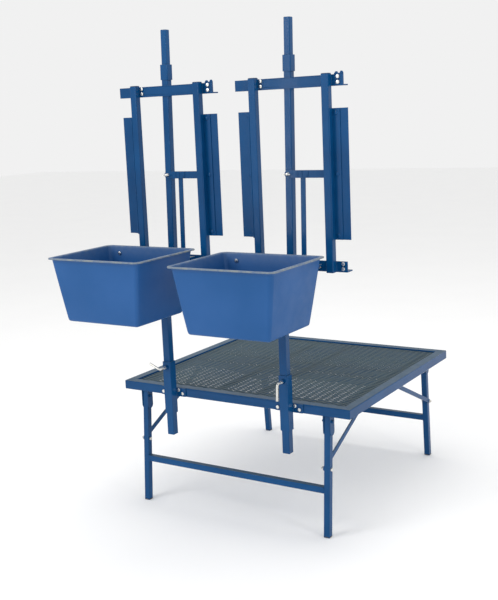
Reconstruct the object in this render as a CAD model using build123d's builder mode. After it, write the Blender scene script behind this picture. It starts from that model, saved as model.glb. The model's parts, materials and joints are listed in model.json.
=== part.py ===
from build123d import *
import os
from math import atan2, cos, degrees, hypot, radians, sin, tan

os.makedirs("parts", exist_ok=True)

# Double milking stand for goats: a folding-leg deck with two headgates, each on a mast in a socket.
# Millimetres. +X runs along the deck's front rail, +Y from the feed pans to the back, +Z up.
# The origin is on the floor, at the centre of the whole stand's bounding box.

# ---- Driving dimensions: deck -------------------------------------------------------------------
deck_width = 1067.0
deck_depth = 1000.0
deck_top = 516.0
rail = 38.1
rail_wall = 2.0
rail_corner = 3.0
rail_bottom = deck_top - rail

mesh_top = 508.5
mesh_thickness = 1.5
mesh_gap = 0.5
ledge_width = 40.0
ledge_thickness = 3.0
ledge_top = mesh_top - mesh_thickness
ledge_bottom = ledge_top - ledge_thickness
stringer_x = 90.0
stringer_width = 38.0
cross_angle = 25.4
cross_angle_wall = 3.0
cross_angle_y = (435.0, 565.0)

# ---- Driving dimensions: legs -------------------------------------------------------------------
leg = 25.4
leg_wall = 2.0
leg_x = 433.0
leg_pivot_z = 455.0
leg_top = 477.4
leg_corner_cut = (3.0, 473.0)
leg_splay = 4.2
leg_bar_z = 185.0
brace_bolt_z = 268.0
brace_width = 19.0
brace_thickness = 4.8
brace_end_z = 466.0
brace_head = 5.3
plate_gap = 0.5
ear_thickness = 3.0
ear_gap = 0.35
ear_width = 34.0
ear_bottom = 400.0
hanger_thickness = 4.0
hanger_width = 28.0
hanger_drop = 28.0

# ---- Driving dimensions: masts and sockets ------------------------------------------------------
mast_x = 275.0
mast = 31.75
mast_wall = 2.5
mast_bottom = 320.0
socket = 38.1
socket_bore = 32.5
socket_bottom = 412.0
socket_length = 220.0
flange_thickness = 4.8
flange_width = 124.0
flange_height = 36.0
mast_y = -(flange_thickness + socket / 2)
screw_z = 609.0
screw_radius = 4.95
screw_reach = 43.0
screw_bend = 9.0
screw_tip_gap = 0.3
weld_nut = 8.0
weld_nut_radius = 9.5
socket_corner = 2.0
flange_corner = 4.0

# ---- Driving dimensions: headgate, measured in X from its mast ----------------------------------
bar_y = mast_y + mast / 2
bar_left = -178.0
bar_right = 268.0
bar_height = 40.0
bar_wall = 4.8
bar_depth = 42.0
lower_bar_z = 1038.0
upper_bar_z = 1704.0
upright = 28.6
upright_wall = 2.0
upright_left = -105.0
upright_right = 196.0
upright_top = 1748.0
shield_bottom = 1158.0
shield_top = 1627.0
shield_reach = 62.0
shield_angle = 31.75
shield_wall = 3.2
shield_sheet = 2.5
shield_bolt_inset = 16.0
shield_bolt_radius = 5.5
shield_bolt_head = 2.5

neck_front = bar_y + 5.6
neck_lean = 1.3
neck_open = 11.0
neck_pivot_x = 27.0
neck_pivot_z = 1058.0
neck_tail = 10.75
neck_length = 722.0
neck_bolt_radius = 6.0
collar = 34.9
collar_start = 708.0
collar_length = 59.0
collar_corner = 3.5
handle = 25.4
handle_wall = 2.0
handle_end = 900.0
handle_cap = 4.0
handle_chamfer = 2.0
link_radius = 337.0
link_spacing = 59.6
link_thickness = 4.5
link_height = 28.0
link_right = 215.0
keeper_width = 19.0
keeper_thickness = 4.8
stop_x = (75.6, 93.1, 118.7)
stop_width = 3.0
stop_height = 1.5
stud_x = 111.8
stud_drop = 8.0
stud_radius = 3.5
stud_height = 3.0
pivot_ear_width = 40.0
pivot_ear_height = 32.0
pivot_ear_thickness = 4.0
pivot_ear_gap = 0.5

# The latch plate's top edge, from its top right corner: two horns with a notch between them.
latch_left = 232.0
latch_thickness = 4.0
latch_height = 51.0
latch_fall = 9.0
latch_horns = ((0, -6), (-4, 0), (-10, 0), (-14, -7), (-20, -7), (-24, -1), (-30, -1))

# Wing bolt: a tapered hub, two upright wings and the web that joins them.
wing_hub_radius = 8.0
wing_hub_height = 9.0
wing_span = 38.0
wing_height = 12.0
wing_thickness = 9.0
wing_web = 4.0
wing_web_stand = 2.0
wing_stand = 3.0
wing_hub_taper = 12.0
nut_seat = 1.5

# ---- Driving dimensions: feed pan ---------------------------------------------------------------
pan_width = 442.0
pan_depth = 380.0
pan_rim_z = 1107.0
pan_height = 250.0
pan_rim = 12.0
pan_rim_thickness = 4.0
pan_wall = 3.5
pan_taper_x = 39.0
pan_taper_y = 32.0
pan_back = -85.0
pan_corner = 30.0
pan_rim_corner = 24.0
pan_bottom_corner = 21.0
pan_floor_corner = 18.0
pan_bottom_round = 8.0
pan_shift = {"left": (-6.0, 10.0), "right": (4.0, 2.0)}
pan_bolt_x = 148.0
pan_bolt_z = 1078.0
pan_bolt_stand = 9.0
pan_bar_height = 40.0
pan_bar_reach = 178.0

# ---- Fasteners ----------------------------------------------------------------------------------
bolt = 4.0
running_fit = 0.05
flats = 13.0
head_height = 5.3
nut_height = 6.5
tip = 4.0
big_flats = 19.0
tube_corner = 3.0
leg_corner = 2.5

# ---- Where the stand's parts lie about the origin ------------------------------------------------
splay_slope = tan(radians(leg_splay))
foot_back = deck_depth - rail / 2 + leg_pivot_z * splay_slope + leg / 2 / cos(radians(leg_splay))
pan_front = pan_back - pan_depth
stand_right = mast_x + upright_right + upright + shield_reach
deck_x = -(stand_right - deck_width / 2) / 2
deck_y = -(foot_back + pan_front) / 2


def base_planes(x):
    """Plan, front and side planes on the deck's front edge, x from the deck's centre line."""
    corner = (deck_x + x, deck_y, 0)
    plan = Plane(origin=corner, x_dir=(1, 0, 0), z_dir=(0, 0, 1))
    front = Plane(origin=corner, x_dir=(1, 0, 0), z_dir=(0, -1, 0))
    side = Plane(origin=corner, x_dir=(0, 1, 0), z_dir=(1, 0, 0))
    return plan, front, side


def save(builder, name):
    """Label a finished part and write its STEP file."""
    builder.part.label = name
    export_step(builder.part, f"parts/{name}.step")


def tube_section(size, wall, corner_radius):
    """Square tube's cross-section, drawn in the sketch that is open."""
    RectangleRounded(size, size, corner_radius)
    Rectangle(size - 2 * wall, size - 2 * wall, mode=Mode.SUBTRACT)


def add_bolt(seat, grip, radius=bolt, across=flats):
    """Hex bolt with its nut. Its head stands on the seat plane and its shank runs down from it."""
    with BuildSketch(seat) as hexagon:
        RegularPolygon(across / 2, 6, major_radius=False)
    extrude(hexagon.sketch, amount=head_height)
    with BuildSketch(seat) as shank:
        Circle(radius)
    extrude(shank.sketch, amount=-(grip + nut_height + tip))
    with BuildSketch(seat.offset(-grip)) as nut:
        RegularPolygon(across / 2, 6, major_radius=False)
    extrude(nut.sketch, amount=-nut_height)


def cut_holes(plane, radius, depth, places):
    """Round holes through the part that is open, depth to each side of the plane."""
    with BuildSketch(plane) as holes:
        with Locations(*places):
            Circle(radius)
    extrude(holes.sketch, amount=depth, both=True, mode=Mode.SUBTRACT)


plan, front, side = base_planes(0)

# ---- Deck frame: four mitred rails of square tube -----------------------------------------------
socket_bolt_x = (-48.0, -28.6, 28.6, 48.0)
socket_bolt_z = {48.0: 493.0, 28.6: 506.0}


def socket_bolt_places():
    """The bolts of both mast sockets, as X and Z on the front plane."""
    places = []
    for gate_x in (-mast_x, mast_x):
        for offset in socket_bolt_x:
            places.append((gate_x + offset, socket_bolt_z[abs(offset)]))
    return places


def deck_rail(name, middle, along, inward, length, holes):
    """Rail with mitred ends. Middle is the centre of the rail's outer face."""
    run = Vector(*along)
    inner = Vector(*inward)
    start = Vector(*middle) + inner * (rail / 2) - run * (length / 2)
    with BuildPart() as rail_part:
        with BuildSketch(Plane(origin=start, x_dir=inner, z_dir=run)):
            tube_section(rail, rail_wall, rail_corner)
        extrude(amount=length)
        for end in (-1, 1):
            corner = Vector(*middle) + run * (end * length / 2)
            split(bisect_by=Plane(origin=corner, z_dir=run * end + inner), keep=Keep.BOTTOM)
        if holes:
            cut_holes(front, bolt, rail_wall + 1, holes)
    save(rail_part, name)


rail_z = deck_top - rail / 2
half_width = deck_width / 2
deck_middle = deck_y + deck_depth / 2
deck_rail("front_rail", (deck_x, deck_y, rail_z), (1, 0, 0), (0, 1, 0), deck_width, socket_bolt_places())
deck_rail("back_rail", (deck_x, deck_y + deck_depth, rail_z), (1, 0, 0), (0, -1, 0), deck_width, None)
deck_rail("left_rail", (deck_x - half_width, deck_middle, rail_z), (0, 1, 0), (1, 0, 0), deck_depth, None)
deck_rail("right_rail", (deck_x + half_width, deck_middle, rail_z), (0, 1, 0), (-1, 0, 0), deck_depth, None)

# ---- Ledge, bars and mesh that make the floor ---------------------------------------------------
opening_width = deck_width - 2 * rail
opening_depth = deck_depth - 2 * rail

with BuildPart() as mesh_ledge:
    # Four flat strips along the insides of the rails.
    with BuildSketch(plan.offset(ledge_bottom)):
        for strip_y in (rail + ledge_width / 2, deck_depth - rail - ledge_width / 2):
            with Locations((0, strip_y)):
                Rectangle(opening_width, ledge_width)
        for strip_x in (-(opening_width - ledge_width) / 2, (opening_width - ledge_width) / 2):
            with Locations((strip_x, deck_depth / 2)):
                Rectangle(ledge_width, opening_depth - 2 * ledge_width - 2 * mesh_gap)
    extrude(amount=ledge_thickness)
save(mesh_ledge, "mesh_ledge")

with BuildPart() as cross_angles:
    # Two angle irons run from side rail to side rail under the mesh.
    for angle_y in cross_angle_y:
        with BuildSketch(side):
            with Locations((angle_y, ledge_bottom)):
                Rectangle(cross_angle, cross_angle_wall, align=(Align.MIN, Align.MAX))
                Rectangle(cross_angle_wall, cross_angle, align=(Align.MIN, Align.MAX))
        extrude(amount=opening_width / 2, both=True)
save(cross_angles, "cross_angles")

with BuildPart() as mesh_stringers:
    # Two flats lie on the angle irons, between the ledge's front and back.
    with BuildSketch(plan.offset(ledge_bottom)):
        with Locations((-stringer_x, deck_depth / 2), (stringer_x, deck_depth / 2)):
            Rectangle(stringer_width, opening_depth - 2 * ledge_width)
    extrude(amount=ledge_thickness)
save(mesh_stringers, "mesh_stringers")

with BuildPart() as deck_mesh:
    with BuildSketch(plan.offset(ledge_top)):
        with Locations((0, deck_depth / 2)):
            Rectangle(opening_width - 2 * mesh_gap, opening_depth - 2 * mesh_gap)
    extrude(amount=mesh_thickness)
save(deck_mesh, "deck_mesh")

# ---- Mast sockets, bolted to the front rail -----------------------------------------------------
socket_front = mast_y - socket / 2


def mast_socket(name, gate_x):
    """Square sleeve with a flange plate behind it and a weld nut for the clamp screw."""
    gate_plan, gate_front, _ = base_planes(gate_x)
    with BuildPart() as socket_part:
        with BuildSketch(gate_front):
            with Locations((0, (rail_bottom + deck_top) / 2)):
                RectangleRounded(flange_width, flange_height, flange_corner)
        extrude(amount=flange_thickness)
        with BuildSketch(gate_plan.offset(socket_bottom)):
            with Locations((0, mast_y)):
                RectangleRounded(socket, socket, socket_corner)
        extrude(amount=socket_length)
        with BuildSketch(gate_front.offset(-socket_front)):
            with Locations((0, screw_z)):
                RegularPolygon(weld_nut_radius, 6)
        extrude(amount=weld_nut)
        with BuildSketch(gate_plan.offset(socket_bottom)):
            with Locations((0, mast_y)):
                Rectangle(socket_bore, socket_bore)
        extrude(amount=socket_length, mode=Mode.SUBTRACT)
        with BuildSketch(gate_front.offset(-mast_y)):
            with Locations((0, screw_z)):
                Circle(screw_radius + running_fit)
        extrude(amount=socket, mode=Mode.SUBTRACT)
        bolt_places = [(x, socket_bolt_z[abs(x)]) for x in socket_bolt_x]
        cut_holes(gate_front, bolt, flange_thickness + 1, bolt_places)
    save(socket_part, name)


mast_socket("mast_socket_left", -mast_x)
mast_socket("mast_socket_right", mast_x)

# ---- Leg geometry, shared by the brackets, legs, braces and their bolts -------------------------
leg_half = leg / 2 / cos(radians(leg_splay))
pivot_y = rail / 2


def leg_y(z):
    """Y of a front leg's centre line at height z. It leans out towards its foot."""
    return pivot_y - (leg_pivot_z - z) * splay_slope


brace_foot = (leg_y(brace_bolt_z), brace_bolt_z)
brace_top = (cross_angle_y[0], brace_end_z)
brace_run = brace_top[0] - brace_foot[0]
brace_rise = brace_top[1] - brace_foot[1]
brace_offset = leg / 2 + plate_gap + brace_thickness / 2
hanger_offset = brace_offset + brace_thickness / 2 + plate_gap + hanger_thickness / 2

# The two leg frames are alike: the back one is the front one turned half a turn about Z.
# Each brace is on the same side of its leg, so a folded pair passes the other frame's pair.
ends = {
    "front": side,
    "back": Plane(origin=(deck_x, deck_y + deck_depth, 0), x_dir=(0, -1, 0), z_dir=(-1, 0, 0)),
}
leg_places = {
    "front": {"left": -leg_x, "right": leg_x},
    "back": {"left": leg_x, "right": -leg_x},
}

with BuildPart() as deck_brackets:
    for end in ends:
        for place in (-leg_x, leg_x):
            # A pair of ears for the leg hangs from the rail.
            for ear_middle in (-1, 1):
                ear_x = place + ear_middle * (leg / 2 + ear_gap + ear_thickness / 2)
                with BuildSketch(ends[end].offset(ear_x)):
                    with Locations((pivot_y, rail_bottom)):
                        ear_straight = rail_bottom - ear_bottom - ear_width / 2
                        Rectangle(ear_width, ear_straight, align=(Align.CENTER, Align.MAX))
                    with Locations((pivot_y, ear_bottom + ear_width / 2)):
                        Circle(ear_width / 2)
                    with Locations((pivot_y, leg_pivot_z)):
                        Circle(bolt, mode=Mode.SUBTRACT)
                extrude(amount=ear_thickness / 2, both=True)
            # A hanger plate for the brace's upper end hangs from the angle iron.
            with BuildSketch(ends[end].offset(place - hanger_offset)):
                with Locations((brace_top[0], ledge_bottom - cross_angle)):
                    Rectangle(hanger_width, hanger_drop, align=(Align.CENTER, Align.MAX))
                with Locations(brace_top):
                    Circle(bolt, mode=Mode.SUBTRACT)
            extrude(amount=hanger_thickness / 2, both=True)
save(deck_brackets, "deck_brackets")

with BuildPart() as deck_bolts:
    # Socket bolts: heads on the flange, nuts inside the front rail.
    for x, z in socket_bolt_places():
        seat = Plane(origin=(deck_x + x, deck_y - flange_thickness, z), z_dir=(0, -1, 0))
        add_bolt(seat, flange_thickness + rail_wall)
    # Leg pivot bolts: heads on the outer ears.
    ear_face = leg_x + leg / 2 + ear_gap + ear_thickness
    pivot_grip = leg + 2 * ear_gap + 2 * ear_thickness
    for y in (pivot_y, deck_depth - pivot_y):
        for hand in (-1, 1):
            seat_at = (deck_x + hand * ear_face, deck_y + y, leg_pivot_z)
            add_bolt(Plane(origin=seat_at, z_dir=(hand, 0, 0)), pivot_grip)
save(deck_bolts, "deck_bolts")


# ---- Leg frames: two legs, a cross bar, two braces and their bolts ------------------------------
def leg_part(name, plane, place):
    """Square tube leg, cut level at its foot, with holes for the pivot and brace bolts."""
    cut_y, cut_z = leg_corner_cut
    with BuildPart() as leg_tube:
        with BuildSketch(plane.offset(place)):
            with BuildLine():
                # The top's inner corner is cut off so that it clears the rail as the leg folds.
                Polyline(
                    (leg_y(0) - leg_half, 0),
                    (leg_y(0) + leg_half, 0),
                    (leg_y(cut_z) + leg_half, cut_z),
                    (leg_y(leg_top) + cut_y, leg_top),
                    (leg_y(leg_top) - leg_half, leg_top),
                    close=True,
                )
            make_face()
        extrude(amount=leg / 2, both=True)
        long_edges = leg_tube.edges().filter_by(lambda edge: edge.length > leg_top - 10)
        fillet(long_edges, leg_corner)
        with BuildSketch(plane.offset(place)):
            with BuildLine():
                bore_half = leg_half - leg_wall
                low = -5
                high = leg_top + 5
                Polyline(
                    (leg_y(low) - bore_half, low),
                    (leg_y(low) + bore_half, low),
                    (leg_y(high) + bore_half, high),
                    (leg_y(high) - bore_half, high),
                    close=True,
                )
            make_face()
        extrude(amount=leg / 2 - leg_wall, both=True, mode=Mode.SUBTRACT)
        cut_holes(plane.offset(place), bolt + running_fit, leg, [(pivot_y, leg_pivot_z)])
        cut_holes(plane.offset(place), bolt, leg, [brace_foot])
    save(leg_tube, name)


def brace_part(name, plane, place):
    """Flat brace with round ends. A rivet fills its upper hole, headed on the face by the leg."""
    middle = ((brace_foot[0] + brace_top[0]) / 2, (brace_foot[1] + brace_top[1]) / 2)
    tilt = degrees(atan2(brace_rise, brace_run))
    brace_plane = plane.offset(place - brace_offset)
    with BuildPart() as brace:
        with BuildSketch(brace_plane):
            with Locations(middle):
                SlotCenterToCenter(hypot(brace_run, brace_rise), brace_width, rotation=tilt)
        extrude(amount=brace_thickness / 2, both=True)
        with BuildSketch(brace_plane.offset(brace_thickness / 2)):
            with Locations(brace_top):
                RegularPolygon(flats / 2, 6, major_radius=False)
        extrude(amount=brace_head)
        cut_holes(brace_plane, bolt + running_fit, brace_thickness, [brace_foot])
    save(brace, name)


for end, plane in ends.items():
    for side_name, place in leg_places[end].items():
        leg_part(f"{end}_leg_{side_name}", plane, place)
        brace_part(f"{end}_brace_{side_name}", plane, place)

    with BuildPart() as leg_crossbar:
        with BuildSketch(plane):
            with Locations((leg_y(leg_bar_z), leg_bar_z)):
                tube_section(leg, leg_wall, leg_corner)
        extrude(amount=leg_x - leg / 2, both=True)
    save(leg_crossbar, f"{end}_leg_crossbar")

    with BuildPart() as brace_bolts:
        for place in (-leg_x, leg_x):
            head_at = plane.from_local_coords(Vector(*brace_foot, place + leg / 2))
            seat = Plane(origin=head_at, z_dir=plane.z_dir)
            add_bolt(seat, leg + 2 * plate_gap + brace_thickness)
    save(brace_bolts, f"{end}_brace_bolts")


# ---- Headgates ----------------------------------------------------------------------------------
neck_slope = tan(radians(neck_lean))
slot_left = neck_pivot_x + (upper_bar_z - neck_pivot_z) * tan(radians(neck_lean - 2)) - upright / 2 - 2
open_slope = tan(radians(neck_lean + neck_open))
slot_right = neck_pivot_x + (upper_bar_z - neck_pivot_z) * open_slope + upright / 2 + 4
slot_front = bar_y + bar_wall
slot_back = neck_front + upright + 1
upright_y = bar_y - upright / 2
keeper_pivot_x = neck_pivot_x + link_spacing
plate_bolts = [(250.0, upper_bar_z + 13), (250.0, upper_bar_z + 32)]
upper_bolts = [(-66.0, upper_bar_z + 13), (-66.0, upper_bar_z + 32)]
lower_bolts = [(155.0, lower_bar_z + 18), (252.0, lower_bar_z + 13), (252.0, lower_bar_z + 31)]
shield_bolt_z = (shield_bottom + shield_bolt_inset, 1395.0, shield_top - shield_bolt_inset)
pivot_ear_front = neck_front + upright + pivot_ear_gap


def neck_point(distance, across=0.0):
    """Point on the leaning neck bar's line, as X and Z in its gate."""
    lean = radians(neck_lean)
    x = neck_pivot_x + distance * sin(lean) + across * cos(lean)
    z = neck_pivot_z + distance * cos(lean) - across * sin(lean)
    return x, z


def neck_plane(gate_x, distance):
    """Plane square to the neck bar, at a distance up its line from the pivot."""
    x, z = neck_point(distance)
    lean = radians(neck_lean)
    origin = (deck_x + gate_x + x, deck_y + neck_front + upright / 2, z)
    return Plane(origin=origin, x_dir=(cos(lean), 0, -sin(lean)), z_dir=(sin(lean), 0, cos(lean)))


def angle_section(low_z):
    """L section of a gate bar: one leg upright at the front, the other level at the bottom."""
    with Locations((bar_y, low_z)):
        Rectangle(bar_depth, bar_wall, align=(Align.MIN, Align.MIN))
        Rectangle(bar_wall, bar_height, align=(Align.MIN, Align.MIN))


def gate_bars(name, gate_x):
    """Lower and upper angle irons. The upper one is slotted for the neck bar."""
    gate_plan, gate_front, gate_side = base_planes(gate_x)
    with BuildPart() as lower_bar:
        with BuildSketch(gate_side.offset(bar_left)):
            angle_section(lower_bar_z)
        extrude(amount=bar_right - bar_left)
        # Ear that carries the back end of the neck bar's pivot bolt.
        with BuildSketch(gate_front.offset(-(pivot_ear_front + pivot_ear_thickness))):
            with Locations((neck_pivot_x, lower_bar_z + bar_wall)):
                Rectangle(pivot_ear_width, pivot_ear_height, align=(Align.CENTER, Align.MIN))
        extrude(amount=pivot_ear_thickness)
        pivot = [(neck_pivot_x, neck_pivot_z)]
        ear_middle = gate_front.offset(-(pivot_ear_front + pivot_ear_thickness / 2))
        cut_holes(ear_middle, neck_bolt_radius, pivot_ear_thickness, pivot)
        face = gate_front.offset(-bar_y - bar_wall / 2)
        cut_holes(face, neck_bolt_radius, bar_wall, pivot)
        cut_holes(face, bolt, bar_wall, lower_bolts + [(keeper_pivot_x, neck_pivot_z)])
    save(lower_bar, f"{name}_lower_bar")

    with BuildPart() as upper_bar:
        with BuildSketch(gate_side.offset(bar_left)):
            angle_section(upper_bar_z)
        extrude(amount=bar_right - bar_left)
        with BuildSketch(gate_plan.offset(upper_bar_z)):
            with Locations(((slot_left + slot_right) / 2, (slot_front + slot_back) / 2)):
                Rectangle(slot_right - slot_left, slot_back - slot_front)
        extrude(amount=bar_wall, both=True, mode=Mode.SUBTRACT)
        cut_holes(gate_front.offset(-bar_y - bar_wall / 2), bolt, bar_wall, upper_bolts + plate_bolts)
    save(upper_bar, f"{name}_upper_bar")

    with BuildPart() as latch_plate:
        low = upper_bar_z + bar_wall
        high = upper_bar_z + latch_height
        horns = [(bar_right + x, high + z) for x, z in latch_horns]
        with BuildSketch(gate_front.offset(-(bar_y + bar_wall + latch_thickness))):
            with BuildLine():
                bottom = [(latch_left, low), (bar_right, low)]
                Polyline(*bottom, *horns, (latch_left, high - latch_fall), close=True)
            make_face()
        extrude(amount=latch_thickness)
        cut_holes(gate_front.offset(-(bar_y + bar_wall)), bolt, latch_thickness + 1, plate_bolts)
    save(latch_plate, f"{name}_latch_plate")


def gate_uprights(name, gate_x):
    """Mast and the two uprights, all welded to the front of the bars."""
    gate_plan, _, _ = base_planes(gate_x)
    with BuildPart() as mast_tube:
        with BuildSketch(gate_plan.offset(mast_bottom)):
            with Locations((0, mast_y)):
                tube_section(mast, mast_wall, tube_corner)
        extrude(amount=lower_bar_z + bar_height - mast_bottom)
    save(mast_tube, f"{name}_mast")
    for side_name, left_edge in (("left", upright_left), ("right", upright_right)):
        with BuildPart() as upright_tube:
            with BuildSketch(gate_plan.offset(lower_bar_z)):
                with Locations((left_edge + upright / 2, upright_y)):
                    tube_section(upright, upright_wall, tube_corner)
            extrude(amount=upright_top - lower_bar_z)
        save(upright_tube, f"{name}_upright_{side_name}")


def gate_shield(name, gate_x, face_x, out):
    """Angle on an upright's outer side with a flat sheet behind its outward leg."""
    gate_plan, gate_front, _ = base_planes(gate_x)
    sheet_front = bar_y - shield_sheet
    angle_back = (Align.MIN if out == 1 else Align.MAX, Align.MAX)
    length = shield_top - shield_bottom
    with BuildPart() as shield:
        with BuildSketch(gate_plan.offset(shield_bottom)):
            with Locations((face_x, sheet_front)):
                Rectangle(shield_wall, upright - shield_sheet, align=angle_back)
                Rectangle(shield_angle, shield_wall, align=angle_back)
            with Locations((face_x, bar_y)):
                Rectangle(shield_reach, shield_sheet, align=angle_back)
        extrude(amount=length)
        # Carriage bolts through both sheets, flush behind.
        with BuildSketch(gate_front.offset(-(sheet_front - shield_wall))):
            with Locations(*[(face_x + out * shield_bolt_inset, z) for z in shield_bolt_z]):
                Circle(shield_bolt_radius)
        extrude(amount=shield_bolt_head)
    save(shield, name)


def pan_bolt_places(hand):
    """The two bolts in a pan's back wall, as X and Z on its gate's front plane."""
    shift_x, shift_z = pan_shift[hand]
    return [(shift_x - pan_bolt_x, shift_z + pan_bolt_z), (shift_x + pan_bolt_x, shift_z + pan_bolt_z)]


def feed_pan(hand, gate_x):
    """Tapered moulded pan with an outward rim, bolted by its back wall to the pan bar."""
    gate_plan, gate_front, _ = base_planes(gate_x)
    shift_x, shift_z = pan_shift[hand]
    middle = (shift_x, pan_back - pan_depth / 2)
    body_width = pan_width - 2 * pan_rim
    body_depth = pan_depth - 2 * pan_rim
    rim_top = pan_rim_z + shift_z
    rim_low = rim_top - pan_rim_thickness
    pan_bottom = rim_top - pan_height
    inner_low = pan_bottom + pan_wall
    rise = (inner_low - pan_bottom) / (rim_low - pan_bottom)
    with BuildPart() as pan:
        with BuildSketch(gate_plan.offset(pan_bottom)):
            with Locations(middle):
                bottom_width = body_width - 2 * pan_taper_x
                RectangleRounded(bottom_width, body_depth - 2 * pan_taper_y, pan_bottom_corner)
        with BuildSketch(gate_plan.offset(rim_low)):
            with Locations(middle):
                RectangleRounded(body_width, body_depth, pan_corner)
        loft()
        fillet(pan.faces().sort_by(Axis.Z)[0].edges(), pan_bottom_round)
        with BuildSketch(gate_plan.offset(rim_low)):
            with Locations(middle):
                RectangleRounded(pan_width, pan_depth, pan_rim_corner)
        extrude(amount=pan_rim_thickness)
        low_width = body_width - 2 * pan_taper_x * (1 - rise) - 2 * pan_wall
        low_depth = body_depth - 2 * pan_taper_y * (1 - rise) - 2 * pan_wall
        with BuildSketch(gate_plan.offset(inner_low)):
            with Locations(middle):
                RectangleRounded(low_width, low_depth, pan_floor_corner)
        with BuildSketch(gate_plan.offset(rim_top)):
            with Locations(middle):
                RectangleRounded(body_width - 2 * pan_wall, body_depth - 2 * pan_wall, pan_corner - pan_wall)
        loft(mode=Mode.SUBTRACT)
        back_wall = gate_front.offset(-(pan_back - pan_rim - pan_wall))
        cut_holes(back_wall, bolt, pan_taper_y / 2, pan_bolt_places(hand))
    save(pan, f"{hand}_feed_pan")


def pan_bar(hand, gate_x):
    """Angle iron that reaches forward from the mast to the pan's back wall, under its rim."""
    _, gate_front, gate_side = base_planes(gate_x)
    shift_x, shift_z = pan_shift[hand]
    wall_y = pan_back - pan_rim
    top_z = pan_rim_z + shift_z - pan_rim_thickness
    with BuildPart() as bar:
        with BuildSketch(gate_side.offset(shift_x)):
            with Locations((wall_y, top_z)):
                Rectangle(bar_wall, pan_bar_height, align=(Align.MIN, Align.MAX))
            with Locations((wall_y, top_z - pan_bar_height)):
                Rectangle(mast_y - mast / 2 - wall_y, bar_wall, align=(Align.MIN, Align.MIN))
        extrude(amount=pan_bar_reach, both=True)
        cut_holes(gate_front.offset(-wall_y - bar_wall / 2), bolt, bar_wall, pan_bolt_places(hand))
    save(bar, f"{hand}_pan_bar")


def gate_bolts(hand, gate_x):
    """Fasteners that stay with the gate: bar bolts, pan bolts and the two lower pivot bolts."""

    def seat(x, y, z):
        return Plane(origin=(deck_x + gate_x + x, deck_y + y, z), z_dir=(0, -1, 0))

    pan_head_y = pan_back - pan_rim - pan_bolt_stand
    with BuildPart() as bolts:
        for x, z in upper_bolts + lower_bolts:
            add_bolt(seat(x, bar_y, z), bar_wall)
        for x, z in plate_bolts:
            add_bolt(seat(x, bar_y, z), bar_wall + latch_thickness)
        for x, z in pan_bolt_places(hand):
            add_bolt(seat(x, pan_head_y, z), pan_bolt_stand + bar_wall)
        neck_grip = pivot_ear_front + pivot_ear_thickness - bar_y
        add_bolt(seat(neck_pivot_x, bar_y, neck_pivot_z), neck_grip, neck_bolt_radius, big_flats)
        keeper_grip = neck_front + keeper_thickness + plate_gap - bar_y
        add_bolt(seat(keeper_pivot_x, bar_y, neck_pivot_z), keeper_grip)
    save(bolts, f"{hand}_gate_bolts")


def neck_parts(name, gate_x):
    """Neck bar that pivots at its foot, the collar at its head and the handle above."""
    _, gate_front, _ = base_planes(gate_x)
    middle = gate_front.offset(-(neck_front + upright / 2))
    with BuildPart() as neck_bar:
        with BuildSketch(neck_plane(gate_x, -neck_tail)):
            tube_section(upright, upright_wall, tube_corner)
        extrude(amount=neck_tail + neck_length)
        cut_holes(middle, neck_bolt_radius + running_fit, upright, [neck_point(0)])
        cut_holes(middle, bolt + running_fit, upright, [neck_point(link_radius)])
    save(neck_bar, f"{name}_neck_bar")

    with BuildPart() as neck_collar:
        with BuildSketch(neck_plane(gate_x, collar_start)):
            RectangleRounded(collar, collar, collar_corner)
            RectangleRounded(upright, upright, tube_corner, mode=Mode.SUBTRACT)
        extrude(amount=neck_length - collar_start)
        with BuildSketch(neck_plane(gate_x, neck_length)):
            RectangleRounded(collar, collar, collar_corner)
            RectangleRounded(handle, handle, tube_corner, mode=Mode.SUBTRACT)
        extrude(amount=collar_start + collar_length - neck_length)
    save(neck_collar, f"{name}_neck_collar")

    with BuildPart() as neck_handle:
        with BuildSketch(neck_plane(gate_x, neck_length)):
            RectangleRounded(handle, handle, tube_corner)
        extrude(amount=handle_end - neck_length)
        chamfer(neck_handle.faces().sort_by(Axis.Z)[-1].edges(), handle_chamfer)
        with BuildSketch(neck_plane(gate_x, neck_length)):
            Rectangle(handle - 2 * handle_wall, handle - 2 * handle_wall)
        extrude(amount=handle_end - neck_length - handle_cap, mode=Mode.SUBTRACT)
    save(neck_handle, f"{name}_neck_handle")


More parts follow.
